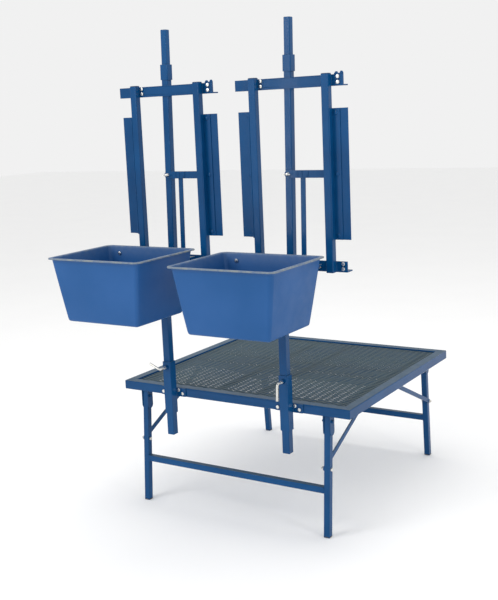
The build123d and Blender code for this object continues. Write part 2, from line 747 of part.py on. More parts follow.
def link_parts(name, gate_x):
    """Cross bar, keeper bar and wing bolt. With the neck bar they make a parallelogram."""
    _, gate_front, _ = base_planes(gate_x)
    pin_x, pin_z = neck_point(link_radius)
    link_back = neck_front - plate_gap
    back_plane = gate_front.offset(-link_back)
    with BuildPart() as cross_bar:
        with BuildSketch(back_plane):
            with Locations((pin_x, pin_z)):
                Circle(link_height / 2)
                Rectangle(link_right - pin_x, link_height, align=(Align.MIN, Align.CENTER))
            with Locations((pin_x, pin_z)):
                Circle(bolt + running_fit, mode=Mode.SUBTRACT)
        extrude(amount=link_thickness)
        # Three raised stops, and a stud where the keeper bar's top meets the bar.
        with BuildSketch(back_plane.offset(link_thickness)):
            with Locations(*[(x, pin_z) for x in stop_x]):
                Rectangle(stop_width, link_height)
        extrude(amount=stop_height)
        with BuildSketch(back_plane.offset(link_thickness)):
            with Locations((stud_x, pin_z - stud_drop)):
                Circle(stud_radius)
        extrude(amount=stud_height)
    save(cross_bar, f"{name}_cross_bar")

    foot = (keeper_pivot_x, neck_pivot_z)
    head_x = keeper_pivot_x + link_radius * sin(radians(neck_lean))
    head_z = neck_pivot_z + link_radius * cos(radians(neck_lean))
    with BuildPart() as keeper_bar:
        with BuildSketch(gate_front.offset(-neck_front)):
            with Locations(((foot[0] + head_x) / 2, (foot[1] + head_z) / 2)):
                SlotCenterToCenter(link_radius, keeper_width, rotation=90 - neck_lean)
            with Locations(foot):
                Circle(bolt + running_fit, mode=Mode.SUBTRACT)
        extrude(amount=-keeper_thickness)
    save(keeper_bar, f"{name}_keeper_bar")

    wing_plane = gate_front.offset(-(link_back - link_thickness - plate_gap))
    pin = Locations((pin_x, pin_z))
    with BuildPart() as wing_bolt:
        with BuildSketch(wing_plane):
            with pin:
                Circle(wing_hub_radius)
        extrude(amount=wing_hub_height, taper=wing_hub_taper)
        with BuildSketch(wing_plane.offset(wing_stand)):
            with pin:
                SlotOverall(wing_span, wing_thickness)
                Rectangle(1.5 * wing_hub_radius, 2 * wing_thickness, mode=Mode.SUBTRACT)
        extrude(amount=wing_height)
        with BuildSketch(wing_plane.offset(wing_web_stand)):
            with pin:
                Rectangle(wing_span - 2 * wing_web, wing_web)
        extrude(amount=wing_height / 2)
        with BuildSketch(wing_plane):
            with pin:
                Circle(bolt)
        extrude(amount=-(link_thickness + 2 * plate_gap + upright + nut_seat))
        with BuildSketch(gate_front.offset(-pivot_ear_front)):
            with pin:
                RegularPolygon(flats / 2, 6, major_radius=False)
        extrude(amount=-nut_height)
    save(wing_bolt, f"{name}_wing_bolt")


def clamp_screw(name, gate_x, handle_x, handle_z):
    """L-handled screw that clamps the mast. The handle's end is given from the bend."""
    inside = mast_y - mast / 2 - screw_tip_gap
    bend = socket_front - screw_reach
    place = Vector(deck_x + gate_x, deck_y, screw_z)
    with BuildPart() as screw:
        with BuildLine() as path:
            FilletPolyline(
                place + Vector(0, inside, 0),
                place + Vector(0, bend, 0),
                place + Vector(handle_x, bend, handle_z),
                radius=screw_bend,
            )
        with BuildSketch(Plane(origin=place + Vector(0, inside, 0), z_dir=(0, -1, 0))):
            Circle(screw_radius)
        sweep(path=path.line)
    save(screw, name)


for gate_name, gate_place in (("left", -mast_x), ("right", mast_x)):
    gate_bars(gate_name, gate_place)
    gate_uprights(gate_name, gate_place)
    gate_shield(f"{gate_name}_shield_left", gate_place, upright_left, -1)
    gate_shield(f"{gate_name}_shield_right", gate_place, upright_right + upright, 1)
    feed_pan(gate_name, gate_place)
    pan_bar(gate_name, gate_place)
    gate_bolts(gate_name, gate_place)
    neck_parts(gate_name, gate_place)
    link_parts(gate_name, gate_place)

clamp_screw("left_clamp_screw", -mast_x, -52.0, 22.0)
clamp_screw("right_clamp_screw", mast_x, -3.0, -66.0)
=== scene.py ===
import json
import math
import random

import bpy
from mathutils import Matrix, Vector


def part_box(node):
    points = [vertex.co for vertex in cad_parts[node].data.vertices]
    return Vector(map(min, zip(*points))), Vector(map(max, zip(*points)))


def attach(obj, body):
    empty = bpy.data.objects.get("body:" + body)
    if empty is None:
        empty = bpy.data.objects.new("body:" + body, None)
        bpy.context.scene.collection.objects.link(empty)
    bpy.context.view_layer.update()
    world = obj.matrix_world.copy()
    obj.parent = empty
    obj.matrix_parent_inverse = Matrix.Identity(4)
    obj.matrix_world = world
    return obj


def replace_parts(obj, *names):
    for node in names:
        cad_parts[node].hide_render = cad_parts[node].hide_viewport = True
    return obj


# Double milking stand: blue enamelled steel, moulded blue feed pans, zinc-plated fasteners.
# Metres, in the CAD's frame: +X along the front rail, +Y from the pans to the deck's back, +Z up.

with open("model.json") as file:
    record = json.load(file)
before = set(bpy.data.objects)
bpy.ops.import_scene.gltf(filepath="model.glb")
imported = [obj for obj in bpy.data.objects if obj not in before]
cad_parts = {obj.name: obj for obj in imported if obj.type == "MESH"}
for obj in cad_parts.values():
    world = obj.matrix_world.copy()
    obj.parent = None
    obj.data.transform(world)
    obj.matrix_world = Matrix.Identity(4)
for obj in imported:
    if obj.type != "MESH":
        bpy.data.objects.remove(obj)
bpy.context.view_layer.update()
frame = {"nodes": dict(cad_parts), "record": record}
random.seed(11)
MM = 0.001
SIDES = ("left", "right")


# ---- Node material helpers ----------------------------------------------------------------------
class Shader:
    """A material's node tree with short calls for the few nodes the materials here share."""

    def __init__(self, name):
        self.material = bpy.data.materials.new(name)
        self.material.use_nodes = True
        self.tree = self.material.node_tree
        self.principled = self.tree.nodes["Principled BSDF"]
        self.place = self.tree.nodes.new("ShaderNodeTexCoord").outputs["Object"]

    def node(self, kind, **settings):
        made = self.tree.nodes.new(kind)
        for key, value in settings.items():
            setattr(made, key, value)
        return made

    def link(self, start, end):
        self.tree.links.new(start, end)

    def noise(self, scale, detail=4.0, roughness=0.5, stretch=(1, 1, 1)):
        """Noise over the object's own place, squeezed along an axis by stretch."""
        mapping = self.node("ShaderNodeMapping")
        mapping.inputs["Scale"].default_value = stretch
        self.link(self.place, mapping.inputs["Vector"])
        texture = self.node("ShaderNodeTexNoise")
        texture.inputs["Scale"].default_value = scale
        texture.inputs["Detail"].default_value = detail
        texture.inputs["Roughness"].default_value = roughness
        self.link(mapping.outputs["Vector"], texture.inputs["Vector"])
        return texture.outputs["Fac"]

    def ramp(self, value, low, high, start=0.0, end=1.0):
        """Value mapped from low..high to start..end, and held there beyond."""
        made = self.node("ShaderNodeMapRange")
        made.inputs["From Min"].default_value = low
        made.inputs["From Max"].default_value = high
        made.inputs["To Min"].default_value = start
        made.inputs["To Max"].default_value = end
        self.link(value, made.inputs["Value"])
        return made.outputs["Result"]

    def math(self, operation, first, second):
        made = self.node("ShaderNodeMath", operation=operation)
        for socket, value in zip(made.inputs, (first, second)):
            if isinstance(value, (int, float)):
                socket.default_value = value
            else:
                self.link(value, socket)
        return made.outputs["Value"]

    def mix(self, factor, first, second):
        """Colour between first and second. Each is a colour or an output."""
        made = self.node("ShaderNodeMix", data_type="RGBA")
        self.link(factor, made.inputs["Factor"])
        for socket, value in ((made.inputs[6], first), (made.inputs[7], second)):
            if isinstance(value, tuple):
                socket.default_value = value
            else:
                self.link(value, socket)
        return made.outputs[2]

    def facing_up(self, low, high):
        """1 on faces that look up, 0 on walls."""
        geometry = self.node("ShaderNodeNewGeometry")
        split = self.node("ShaderNodeSeparateXYZ")
        self.link(geometry.outputs["Normal"], split.inputs["Vector"])
        return self.ramp(split.outputs["Z"], low, high)

    def bump(self, height, strength, distance, before=None):
        made = self.node("ShaderNodeBump")
        made.inputs["Strength"].default_value = strength
        made.inputs["Distance"].default_value = distance
        self.link(height, made.inputs["Height"])
        if before is not None:
            self.link(before, made.inputs["Normal"])
        return made.outputs["Normal"]

    def set(self, socket, value):
        if isinstance(value, (int, float, tuple)):
            self.principled.inputs[socket].default_value = value
        else:
            self.link(value, self.principled.inputs[socket])


def blue_enamel(name, deep, pale, dust_and_sheen, dust_and_sheen_amount):
    """Sprayed gloss enamel on steel: orange peel, faint runs, fine scuffs, and dust with a painted
    sky sheen in grey on level faces.
    """
    shader = Shader(name)
    cloud = shader.ramp(shader.noise(5.0, 5.0), 0.3, 0.7)
    colour = shader.mix(cloud, deep, pale)
    scuffs = shader.ramp(shader.noise(90.0, 8.0, 0.7, (1, 1, 0.25)), 0.66, 0.74)
    patches = shader.ramp(shader.noise(9.0, 3.0), 0.48, 0.68)
    scuff = shader.math("MULTIPLY", scuffs, patches)
    worn = shader.mix(shader.math("MULTIPLY", scuff, 0.45), colour, (0.20, 0.30, 0.42, 1.0))
    grain = shader.ramp(shader.noise(60.0, 6.0, 0.65), 0.25, 0.75, 0.55, 1.0)
    # Level faces go grey: partly dust, partly a painted sheen of sky light on the tops. The same
    # mask also roughens them.
    dust_and_sheen_mask = shader.math("MULTIPLY", shader.facing_up(0.55, 0.95), grain)
    shader.set("Base Color", shader.mix(shader.math("MULTIPLY", dust_and_sheen_mask, dust_and_sheen_amount), worn, dust_and_sheen))
    smooth = shader.ramp(shader.noise(14.0, 4.0), 0.3, 0.7, 0.16, 0.27)
    shader.set("Roughness", shader.math("ADD", smooth, shader.math("MULTIPLY", dust_and_sheen_mask, 0.30)))
    shader.set("Specular IOR Level", 0.18)
    shader.set("Coat Weight", 0.05)
    shader.set("Coat Roughness", 0.08)
    peel = shader.bump(shader.noise(240.0, 2.0), 0.10, 0.0006)
    shader.set("Normal", shader.bump(shader.noise(28.0, 3.0, 0.5, (1, 1, 0.4)), 0.14, 0.0012, peel))
    return shader.material


def pan_plastic():
    """Satin polyethylene: faint mottling and moulding grain, with a patchy painted highlight in
    pale grey along the rim.
    """
    shader = Shader("pan_plastic")
    cloud = shader.ramp(shader.noise(4.0, 4.0), 0.3, 0.7)
    colour = shader.mix(cloud, (0.011, 0.080, 0.245, 1.0), (0.020, 0.098, 0.290, 1.0))
    # The pale grey along the rim is a painted highlight, set per vertex and broken up by noise.
    edge = shader.node("ShaderNodeAttribute", attribute_name="rim_highlight").outputs["Fac"]
    patchy = shader.ramp(shader.noise(45.0, 5.0, 0.6), 0.3, 0.62, 0.35, 1.0)
    rim_highlight = shader.math("MULTIPLY", edge, patchy)
    shader.set("Base Color", shader.mix(rim_highlight, colour, (0.23, 0.26, 0.26, 1.0)))
    shader.set("Roughness", shader.ramp(shader.noise(22.0, 5.0), 0.3, 0.7, 0.36, 0.5))
    shader.set("Specular IOR Level", 0.2)
    grain = shader.bump(shader.noise(900.0, 2.0), 0.18, 0.00025)
    shader.set("Normal", shader.bump(shader.noise(11.0, 2.0), 0.10, 0.0025, grain))
    return shader.material


def zinc_plate():
    """Bright zinc on steel, with a faint warm bloom and dull spots."""
    shader = Shader("zinc_plate")
    bloom = shader.ramp(shader.noise(120.0, 4.0), 0.35, 0.7)
    shader.set("Base Color", shader.mix(bloom, (0.74, 0.74, 0.73, 1.0), (0.62, 0.60, 0.53, 1.0)))
    shader.set("Metallic", 1.0)
    shader.set("Roughness", shader.ramp(shader.noise(300.0, 4.0), 0.3, 0.7, 0.2, 0.42))
    shader.set("Normal", shader.bump(shader.noise(700.0, 3.0), 0.15, 0.0002))
    return shader.material


def black_plastic():
    """Low-density plastic of the tube end plugs, scuffed grey."""
    shader = Shader("black_plastic")
    worn = shader.ramp(shader.noise(130.0, 6.0, 0.65), 0.5, 0.75)
    shader.set("Base Color", shader.mix(worn, (0.012, 0.013, 0.015, 1.0), (0.07, 0.07, 0.068, 1.0)))
    shader.set("Roughness", shader.ramp(worn, 0.0, 1.0, 0.42, 0.7))
    shader.set("Normal", shader.bump(shader.noise(500.0, 3.0), 0.2, 0.0003))
    return shader.material


# Each finish's third colour is the grey of dust and of painted sky sheen on level faces.
BLUE = blue_enamel("blue_enamel", (0.001, 0.048, 0.152, 1.0), (0.003, 0.068, 0.204, 1.0),
                   (0.046, 0.082, 0.096, 1.0), 0.85)
MESH_BLUE = blue_enamel("mesh_enamel", (0.006, 0.046, 0.115, 1.0), (0.018, 0.064, 0.115, 1.0),
                        (0.070, 0.092, 0.084, 1.0), 0.88)
PAN = pan_plastic()
ZINC = zinc_plate()
BLACK = black_plastic()
MATERIALS = {"frame_blue": BLUE, "mesh": MESH_BLUE, "pan_plastic": PAN, "zinc": ZINC}


# ---- Mesh helpers -------------------------------------------------------------------------------
def make_piece(name, points, faces, body, material, smooth=True):
    """Mesh piece that rides on a CAD body and takes its finish from a material slot."""
    mesh = bpy.data.meshes.new(name)
    mesh.from_pydata([tuple(p) for p in points], [], faces)
    mesh.validate()
    piece = bpy.data.objects.new(name, mesh)
    bpy.context.scene.collection.objects.link(piece)
    mesh.materials.append(material)
    if smooth:
        mesh.shade_smooth()
        mesh.set_sharp_from_angle(angle=math.radians(38))
    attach(piece, body)
    return piece


def tube_faces(rings, around, start=0, closed=False, caps=True):
    """Quads between rings of points, with a flat cap at each end."""
    faces = []
    for i in range(rings if closed else rings - 1):
        low = start + i * around
        high = start + ((i + 1) % rings) * around
        for j in range(around):
            k = (j + 1) % around
            faces.append((low + j, low + k, high + k, high + j))
    if caps and not closed:
        faces.append(tuple(start + j for j in reversed(range(around))))
        faces.append(tuple(start + (rings - 1) * around + j for j in range(around)))
    return faces


def frame_along(direction):
    """Two unit vectors square to a direction and to each other."""
    w = Vector(direction).normalized()
    helper = Vector((0, 0, 1)) if abs(w.z) < 0.9 else Vector((1, 0, 0))
    u = helper.cross(w).normalized()
    return u, w.cross(u), w


def solid_boxes(node):
    """Lowest and highest corner of each separate solid in a CAD node."""
    mesh = frame["nodes"][node].data
    keys = {}
    for vertex in mesh.vertices:
        key = tuple(round(c, 6) for c in vertex.co)
        keys.setdefault(key, len(keys))
    parent = list(range(len(keys)))

    def root(i):
        while parent[i] != i:
            parent[i] = parent[parent[i]]
            i = parent[i]
        return i

    index = [keys[tuple(round(c, 6) for c in v.co)] for v in mesh.vertices]
    for face in mesh.polygons:
        first = root(index[face.vertices[0]])
        for other in face.vertices[1:]:
            parent[root(index[other])] = first
    groups = {}
    for key, i in keys.items():
        groups.setdefault(root(i), []).append(key)
    boxes = []
    for places in groups.values():
        low = Vector([min(p[i] for p in places) for i in range(3)])
        high = Vector([max(p[i] for p in places) for i in range(3)])
        boxes.append((low, high))
    return sorted(boxes, key=lambda b: tuple(b[0]))


# ---- CAD nodes that stay: materials and softened edges ------------------------------------------
def dress_node(node, slot):
    """Gives a CAD node its procedural material and rounds its sheared edges a little."""
    piece = frame["nodes"][node]
    piece.data.materials.clear()
    piece.data.materials.append(MATERIALS[slot])
    weld = piece.modifiers.new("weld", "WELD")
    weld.merge_threshold = 1e-6
    bevel = piece.modifiers.new("edges", "BEVEL")
    bevel.width = 0.5 * MM
    bevel.segments = 2
    bevel.limit_method = "ANGLE"
    bevel.angle_limit = math.radians(40)
    bevel.harden_normals = False


SLOTS = {part["node"]: part["material_slot"] for part in frame["record"]["subparts"]}
REPLACED = ["deck_mesh", "deck_bolts", "front_brace_bolts", "back_brace_bolts"]
for gate in SIDES:
    REPLACED += [f"{gate}_feed_pan", f"{gate}_gate_bolts", f"{gate}_wing_bolt"]
for node_name, slot_name in SLOTS.items():
    if node_name not in REPLACED:
        dress_node(node_name, slot_name)


# ---- Expanded metal floor -----------------------------------------------------------------------
def expanded_metal():
    """Flattened expanded metal: zigzag strands, bonded to their neighbours at alternate corners."""
    low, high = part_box("deck_mesh")
    long_way = 60 * MM
    short_way = 19.5 * MM
    strand_width = 4.4 * MM
    strand_thickness = 2.0 * MM
    lean = math.radians(14)
    bond = 0.24
    # One strand runs along X in each half of the diamonds' short way.
    columns = round((high.x - low.x) / long_way)
    rows = round((high.y - low.y) / (short_way / 2))
    pitch_x = (high.x - low.x) / columns
    pitch_y = (high.y - low.y) / rows
    across = Vector((0, math.cos(lean), math.sin(lean))) * (strand_width / 2)
    through = Vector((0, -math.sin(lean), math.cos(lean))) * (strand_thickness / 2)
    corners = (-across - through, across - through, across + through, -across + through)
    reach = corners[2].z
    depth = max(corner.y for corner in corners)
    points = []
    faces = []
    for row in range(rows):
        # Each strand zigzags between the bonds with the strand before it and with the next one.
        start = len(points)
        count = 0
        for half in range(2 * columns + 1):
            up = (half + row) % 2
            middle_x = low.x + half * pitch_x / 2
            y = low.y + (row + up) * pitch_y + (-depth if up else depth)
            for side in (-1, 1):
                x = min(max(middle_x + side * bond * pitch_x / 4, low.x), high.x)
                middle = Vector((x, y, low.z + reach))
                points += [middle + corner for corner in corners]
                count += 1
        faces += tube_faces(count, 4, start)
    piece = make_piece(
        "expanded_metal_floor", points, faces, "deck", MESH_BLUE, smooth=False
    )
    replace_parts(piece, "deck_mesh")


expanded_metal()


# ---- Feed pans ----------------------------------------------------------------------------------
def rounded_loop(centre, half_x, half_y, radius, z, per_corner=8):
    """Points round a rounded rectangle at height z, counter-clockwise from above."""
    loop = []
    corners = ((1, 1, 0), (-1, 1, 90), (-1, -1, 180), (1, -1, 270))
    for sign_x, sign_y, start in corners:
        corner_x = centre.x + sign_x * (half_x - radius)
        corner_y = centre.y + sign_y * (half_y - radius)
        for i in range(per_corner + 1):
            angle = math.radians(start + 90 * i / per_corner)
            x = corner_x + radius * math.cos(angle)
            y = corner_y + radius * math.sin(angle)
            loop.append((x, y, z))
    return loop


def feed_pan(gate):
    """Moulded pan: tapered walls, coved floor, and a thin flange with a turned edge."""
    low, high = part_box(f"{gate}_feed_pan")
    centre = (low + high) / 2
    half_x = (high.x - low.x) / 2
    half_y = (high.y - low.y) / 2
    top = high.z
    depth = high.z - low.z
    rim = 12 * MM
    taper_x = 39 * MM
    taper_y = 32 * MM
    wall = 3.5 * MM
    corner = 19 * MM
    corner_taper = 6 * MM
    corner_least = 6 * MM
    belly = 0.5 * MM

    def wall_loop(z, inset):
        """Half sizes, corner radius and height of the tapered wall at z, moved in by inset."""
        share = (top - z) / depth
        x = half_x - rim - taper_x * share - inset
        y = half_y - rim - taper_y * share - inset
        return x, y, max(corner - inset - corner_taper * share, corner_least), z

    # Rows of the outline: half sizes, corner radius, height, and how strong the painted rim
    # highlight is.
    outline = []
    # Under the floor, round the cove and up the outside. Each pair is inset and rise, in mm.
    cove_outside = (
        (46, 2.5), (42, 0.6), (36, 0.0), (14, 0.0), (7, 0.9), (2.6, 3.4), (0.6, 7.5), (0, 13),
    )
    for inset, rise in cove_outside:
        outline.append((*wall_loop(low.z + rise * MM, inset * MM), 0.0))
    for share in (0.3, 0.55, 0.8):
        bulge = -belly * math.sin(math.pi * share)
        outline.append((*wall_loop(low.z + depth * share, bulge), 0.0))
    outline.append((*wall_loop(top - 16 * MM, 0.0), 0.0))
    outline.append((*wall_loop(top - 9 * MM, 0.0), 0.05))
    # The flange: its underside, turned edge and top. Each row is reach, height and painted
    # highlight.
    under = top - 3.4 * MM
    corner_share = 0.6
    flange = (
        (1.5 * MM, under - 1.6 * MM, 0.1),
        (4.0 * MM, under, 0.15),
        (rim - 2.6 * MM, under, 0.3),
        (rim - 1.8 * MM, under - 1.8 * MM, 0.8),
        (rim - 0.5 * MM, under - 1.6 * MM, 1.0),
        (rim, under + 0.2 * MM, 1.0),
        (rim, top - 1.2 * MM, 1.0),
        (rim - 1.0 * MM, top - 0.2 * MM, 1.0),
        (rim - 2.5 * MM, top, 0.9),
        (3.0 * MM, top, 0.55),
        (-1.0 * MM, top - 0.2 * MM, 0.6),
        (-2.6 * MM, top - 1.4 * MM, 0.5),
    )
    for out, z, rim_highlight in flange:
        radius = corner + out * corner_share
        outline.append((half_x - rim + out, half_y - rim + out, radius, z, rim_highlight))
    # Down the inside, round the cove and over the floor.
    outline.append((*wall_loop(top - 6 * MM, wall), 0.15))
    for share in (0.8, 0.55, 0.3):
        outline.append((*wall_loop(low.z + depth * share, wall), 0.0))
    for inset, rise in ((wall / MM, 16), (4.6, 10.5), (7.6, 6.2), (12, 4.4), (18, 3.6)):
        outline.append((*wall_loop(low.z + rise * MM, inset * MM), 0.0))
    points = []
    values = []
    around = 0
    for x, y, radius, z, rim_highlight in outline:
        loop = rounded_loop(centre, x, y, radius, z)
        around = len(loop)
        points += loop
        values += [rim_highlight] * around
    faces = tube_faces(len(outline), around)
    piece = make_piece(f"{gate}_pan", points, faces, f"{gate}_gate", PAN)
    # Per-vertex strength of the painted rim highlight, read by the pan's material.
    attribute = piece.data.attributes.new("rim_highlight", "FLOAT", "POINT")
    for item, value in zip(attribute.data, values):
        item.value = value
    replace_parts(piece, f"{gate}_feed_pan")


for gate in SIDES:
    feed_pan(gate)


# ---- Fasteners ----------------------------------------------------------------------------------
HEAD_HEIGHT = 5.3 * MM
NUT_HEIGHT = 6.5 * MM
TIP = 4.0 * MM


def hexagon_radius(apothem, angle):
    """Distance from the centre to a hexagon's edge at an angle."""
    turn = (angle + math.pi / 6) % (math.pi / 3) - math.pi / 6
    return apothem / math.cos(turn)


def turned(points, faces, origin, axis, profile, around=24):
    """Adds a lathe-turned shape.

    Profile rows are distance along the axis, radius, and a hexagon's apothem, or 0 where round.
    """
    u, v, w = frame_along(axis)
    start = len(points)
    for along, radius, hexagon in profile:
        for j in range(around):
            angle = 2 * math.pi * j / around
            r = radius
            if hexagon:
                r = min(hexagon_radius(hexagon, angle), radius)
            place = origin + w * along
            place += u * (r * math.cos(angle))
            place += v * (r * math.sin(angle))
            points.append(place)
    faces += tube_faces(len(profile), around, start)


def hex_profile(start, height, apothem, both_ends):
    """Hex head or nut from start, chamfered at its outer end, or at both."""
    full = apothem / math.cos(math.pi / 6)
    cut = 0.16 * apothem
    rows = []
    if both_ends:
        rows.append((start, apothem * 0.95, apothem))
        rows.append((start + cut, full, apothem))
    else:
        rows.append((start, full, apothem))
    rows.append((start + height - cut, full, apothem))
    rows.append((start + height - cut * 0.25, apothem * 0.99, apothem))
    rows.append((start + height, apothem * 0.86, apothem))
    return rows


def thread_profile(start, end, radius, pitch=1.25 * MM):
    """Ridges of a thread on a bare shank end."""
    rows = []
    count = max(2, round(abs(end - start) / pitch))
    step = (end - start) / count
    for i in range(count):
        rows.append((start + step * i, radius * 0.88, 0))
        rows.append((start + step * (i + 0.5), radius, 0))
    rows.append((end - step * 0.1, radius * 0.85, 0))
    rows.append((end, radius * 0.72, 0))
    return rows


def detailed_bolt(points, faces, low, high, towards_head):
    """Hex bolt, nut and threaded tip that fill one CAD bolt's box."""
    shank_share = 0.62
    size = high - low
    axis = max(range(3), key=lambda i: size[i])
    across = min(size[i] for i in range(3) if i != axis)
    direction = Vector((0, 0, 0))
    direction[axis] = towards_head
    centre = (low + high) / 2
    end = centre.copy()
    end[axis] = high[axis] if towards_head > 0 else low[axis]
    length = size[axis]
    apothem = across / 2
    shank = apothem * shank_share
    seat = end - direction * HEAD_HEIGHT
    turned(points, faces, seat, direction, hex_profile(0.0, HEAD_HEIGHT, apothem, False))
    back = -(length - HEAD_HEIGHT)
    nut_start = back + TIP
    turned(points, faces, seat, direction, hex_profile(nut_start, NUT_HEIGHT, apothem, True))
    plain = ((nut_start + NUT_HEIGHT * 0.5, shank, 0), (0.0, shank, 0))
    turned(points, faces, seat, direction, plain, 16)
    thread = thread_profile(nut_start + 0.5 * MM, back, shank)
    turned(points, faces, seat, direction, thread, 16)


def bolt_group(name, boxes, body, heads, painted=False):
    """Detailed bolts in the given boxes. heads says which way each head looks, 1 or -1."""
    points = []
    faces = []
    for (low, high), towards_head in zip(boxes, heads):
        detailed_bolt(points, faces, low, high, towards_head)
    slot, material = ("frame_blue", BLUE) if painted else ("zinc", ZINC)
    return make_piece(name, points, faces, body, material)


def lies_along_y(box):
    low, high = box
    return high.y - low.y > high.x - low.x


def outward(box):
    """Direction along X that points away from the deck's middle."""
    low, high = box
    rail_low, rail_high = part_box("front_rail")
    return 1 if low.x + high.x > rail_low.x + rail_high.x else -1


deck_boxes = solid_boxes("deck_bolts")
socket_boxes = [box for box in deck_boxes if lies_along_y(box)]
pivot_boxes = [box for box in deck_boxes if not lies_along_y(box)]
socket_heads = [-1] * len(socket_boxes)
pivot_heads = [outward(box) for box in pivot_boxes]
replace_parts(bolt_group("socket_bolts", socket_boxes, "deck", socket_heads), "deck_bolts")
bolt_group("leg_pivot_bolts", pivot_boxes, "deck", pivot_heads, painted=True)
for end, head in (("front", 1), ("back", -1)):
    node = f"{end}_brace_bolts"
    boxes = solid_boxes(node)
    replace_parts(bolt_group(f"{node}_set", boxes, f"{end}_legs", [head] * len(boxes)), node)
for gate in SIDES:
    node = f"{gate}_gate_bolts"
    boxes = solid_boxes(node)
    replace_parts(bolt_group(f"{node}_set", boxes, f"{gate}_gate", [-1] * len(boxes)), node)


def wing_bolt(gate):
    """Wing bolt: turned hub with two cast wings, its shank through the link and the nut behind."""
    node = f"{gate}_wing_bolt"
    low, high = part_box(node)
    centre = (low + high) / 2
    length = high.y - low.y
    points = []
    faces = []
    front = (0, -1, 0)
    origin = Vector((centre.x, low.y, centre.z))
    hub_length = 11 * MM
    hub_setback = 4 * MM
    hub_profile = (
        (0.0, 3.0 * MM, 0),
        (-0.8 * MM, 4.6 * MM, 0),
        (-3.0 * MM, 5.6 * MM, 0),
        (-hub_length + 1.5 * MM, 7.4 * MM, 0),
        (-hub_length, 8.2 * MM, 0),
        (-hub_length - 1.0 * MM, 8.2 * MM, 0),
    )
    turned(points, faces, origin + Vector((0, hub_setback, 0)), front, hub_profile, 28)
    shank_start = 8 * MM
    shank_radius = 3.9 * MM
    shank = ((-shank_start, shank_radius, 0), (NUT_HEIGHT - length, shank_radius, 0))
    turned(points, faces, origin, front, shank, 16)
    nut_apothem = 6.5 * MM
    turned(points, faces, origin, front, hex_profile(-length, NUT_HEIGHT, nut_apothem, True))
    # Each wing is a flattened tube that sweeps out and forward from the hub, rounded at its tip.
    wing_start = 5.0
    wing_reach = 12.5
    rings = 10
    around = 14
    for hand in (-1, 1):
        start = len(points)
        for i in range(rings + 1):
            t = i / rings
            out = (wing_start + wing_reach * t) * MM
            ahead = (-7.5 + 9.5 * t ** 1.6) * MM
            spread = (5.2 + 1.2 * math.sin(math.pi * t)) * MM * math.sqrt(max(0.02, 1 - t ** 5))
            thick = (2.4 - 0.7 * t) * MM * math.sqrt(max(0.05, 1 - t ** 6))
            for j in range(around):
                angle = 2 * math.pi * j / around
                y = origin.y - ahead + spread * math.cos(angle)
                y = max(y, low.y)
                points.append((origin.x + hand * out, y, origin.z + thick * math.sin(angle)))
        faces += tube_faces(rings + 1, around, start)
    piece = make_piece(f"{gate}_wing_nut", points, faces, node, ZINC)
    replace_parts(piece, node)


for gate in SIDES:
    wing_bolt(gate)


def carriage_heads(gate, side):
    """Domed bolt heads on a shield, with nuts behind it at its top and bottom.

    The middle bolt is flush behind, because the cross bar passes there.
    """
    node = f"{gate}_shield_{side}"
    low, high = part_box(node)
    out = -1 if side == "left" else 1
    edge = high.x if out < 0 else low.x
    bolt_inset = 16 * MM
    x = edge + out * bolt_inset
    middle_z = (low.z + high.z) / 2 + 2.5 * MM
    head_seat = high.y - 5.7 * MM
    dome_radius = 8.2
    dome_rise = 3.0
    dome_steps = 5
    dome = [(0.0, dome_radius * MM, 0)]
    for i in range(dome_steps + 1):
        angle = math.pi / 2 * (i / dome_steps)
        along = (0.6 + dome_rise * math.sin(angle)) * MM
        dome.append((along, max(dome_radius * math.cos(angle), 0.3) * MM, 0))
    nut = hex_profile(0.0, 5.0 * MM, 5.5 * MM, False)
    thread = thread_profile(4.5 * MM, 7.5 * MM, 3.2 * MM)
    points = []
    faces = []
    for z in (low.z + bolt_inset, middle_z, high.z - bolt_inset):
        turned(points, faces, Vector((x, head_seat, z)), (0, -1, 0), dome, 24)
        if z != middle_z:
            back = Vector((x, high.y, z))
            turned(points, faces, back, (0, 1, 0), nut)
            turned(points, faces, back, (0, 1, 0), thread, 16)
    make_piece(f"{gate}_shield_{side}_bolts", points, faces, f"{gate}_gate", BLUE)


for gate in SIDES:
    for side in SIDES:
        carriage_heads(gate, side)


def screw_thread(gate):
    """Thread ridges on a clamp screw between its weld nut and its bend."""
    socket_low, socket_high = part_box(f"mast_socket_{gate}")
    centre_x = (socket_low.x + socket_high.x) / 2
    screw_drop = 23 * MM
    start = Vector((centre_x, socket_low.y - 0.3 * MM, socket_high.z - screw_drop))
    points = []
    faces = []
    thread = thread_profile(0.0, 17 * MM, 5.15 * MM, 1.75 * MM)
    turned(points, faces, start, (0, -1, 0), thread, 20)
    make_piece(f"{gate}_clamp_thread", points, faces, f"{gate}_clamp_screw", ZINC)


for gate in SIDES:
    screw_thread(gate)


# ---- Welds --------------------------------------------------------------------------------------
def bead(points, faces, start, end, radius=2.3 * MM):
    """A weld bead from start to end: overlapping ripples, painted over."""
    start = Vector(start)
    end = Vector(end)
    u, v, w = frame_along(end - start)
    length = (end - start).length
    step = 1.3 * MM
    ripple_pitch = 3.6 * MM
    swell_pitch = 11 * MM
    end_taper = 2.5 * MM
    rings = max(4, round(length / step))
    around = 8
    first = len(points)
    wander = random.random() * 6
    for i in range(rings + 1):
        t = i / rings
        ripple = 1.0 + 0.10 * math.sin(2 * math.pi * t * length / ripple_pitch + wander)
        swell = 1.0 + 0.10 * math.sin(t * length / swell_pitch + wander)
        ends = min(1.0, 0.45 + 0.55 * min(t, 1 - t) * length / end_taper)
        r = radius * ripple * swell * ends
        for j in range(around):
            angle = 2 * math.pi * j / around
            place = start + w * (length * t)
            place += u * (r * math.cos(angle))
            place += v * (r * math.sin(angle))
            points.append(place)
    faces += tube_faces(rings + 1, around, first)


